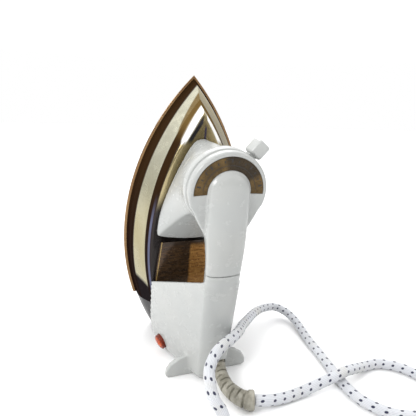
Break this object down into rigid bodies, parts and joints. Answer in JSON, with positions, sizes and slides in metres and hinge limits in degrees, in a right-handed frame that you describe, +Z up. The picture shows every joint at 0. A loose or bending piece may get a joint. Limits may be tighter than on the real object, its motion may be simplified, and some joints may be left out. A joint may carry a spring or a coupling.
{
  "type": "clothes iron",
  "caption": "Dry iron stood on its heel, with a looped handle over a finger gap, a rotary heat dial with a lever, a pilot lamp and a braided mains cord with its spare length coiled.",
  "frame": {"origin": "middle of the iron's footprint on the surface it stands on, cord left out", "axes": "+Z up through the tip of the sole, +Y out of the sole, +X to the right of someone facing the handle"},
  "size_m": [0.217, 0.3247, 0.2323],
  "materials": {
    "sole_aluminium": "satin polished underside, cast edge",
    "weight_iron": "rough casting",
    "sheath_steel": "dull heater tube",
    "insulation_mica": "flaky mica sheet",
    "cover_chrome": "gold tinted bright plating",
    "plate_gloss": "brown and orange gold gloss plate",
    "heel_plastic": "near black gloss moulding",
    "body_plastic": "light grey white moulding, soft gloss",
    "dial_plastic": "white moulding",
    "label_print": "dark brown printed scale",
    "lens_orange": "orange red translucent moulding",
    "lamp_glass": "small sealed lamp",
    "zinc_steel": "zinc plated",
    "spring_brass": "rolled strip",
    "terminal_brass": "turned",
    "steatite": "unglazed ceramic",
    "terminal_plastic": "dark heat resistant moulding",
    "sleeve_brown": "glass fibre sleeve",
    "sleeve_blue": "glass fibre sleeve",
    "sleeve_green": "glass fibre sleeve",
    "bush_rubber": "grey beige ribbed rubber",
    "cord_braid": "white braid with dark flecks",
    "tie_strap": "soft black strap",
    "plug_rubber": "black moulding"
  },
  "bodies": {
    "iron": {"soleplate": "sole_aluminium", "weight_plate": "weight_iron", "heating_element": "sheath_steel", "insulation_sheet": "insulation_mica", "cover_shell": "cover_chrome", "name_plate": "plate_gloss", "heel_block": "heel_plastic", "front_base": "body_plastic", "handle": "body_plastic", "rear_cover": "body_plastic", "dial_label": "label_print", "pilot_lens": "lens_orange", "neon_lamp": "lamp_glass", "thermostat_bracket": "zinc_steel", "stud_front": "zinc_steel", "stud_left": "zinc_steel", "stud_right": "zinc_steel", "nut_front": "zinc_steel", "nut_left": "zinc_steel", "nut_right": "zinc_steel", "heel_screw": "zinc_steel", "handle_tie_screw": "zinc_steel", "base_screw_left": "zinc_steel", "base_screw_right": "zinc_steel", "head_screw_left": "zinc_steel", "head_screw_right": "zinc_steel", "rear_screw_left": "zinc_steel", "rear_screw_right": "zinc_steel", "element_pin_left": "zinc_steel", "element_pin_right": "zinc_steel", "bimetal_strip": "spring_brass", "moving_contact_arm": "spring_brass", "fixed_contact_arm": "spring_brass", "contact_button": "spring_brass", "terminal_screw_earth": "terminal_brass", "terminal_screw_live": "terminal_brass", "terminal_screw_neutral": "terminal_brass", "plug_pin_earth": "terminal_brass", "plug_pin_live": "terminal_brass", "plug_pin_neutral": "terminal_brass", "ceramic_spacer_1": "steatite", "ceramic_spacer_2": "steatite", "ceramic_spacer_3": "steatite", "terminal_block": "terminal_plastic", "lead_live": "sleeve_brown", "element_lead_left": "sleeve_brown", "element_lead_right": "sleeve_brown", "lead_neutral": "sleeve_blue", "lead_earth": "sleeve_green", "cord_bush": "bush_rubber", "cord": "cord_braid", "cord_coil": "cord_braid", "cord_tail": "cord_braid", "coil_tie": "tie_strap", "plug_body": "plug_rubber"},
    "dial": {"dial_ring": "dial_plastic", "lever_knob": "dial_plastic", "thermostat_spindle": "zinc_steel"},
    "pin": {"thermostat_pin": "steatite"}
  },
  "joints": [
    {"name": "dial_turn", "type": "hinge", "parent": "iron", "child": "dial", "pos_m": [0, -0.05429, 0.15357], "axis": [0, -0.9893, -0.1461], "range_deg": [-35, 115]},
    {"name": "pin_slide", "type": "slide", "parent": "iron", "child": "pin", "axis": [0, -0.9893, -0.1461], "range_m": [-0.0001, 0.00033]}
  ],
  "couplings": [
    {"joint": "pin_slide", "follows": "dial_turn", "m_per_rad": 0.000159}
  ]
}
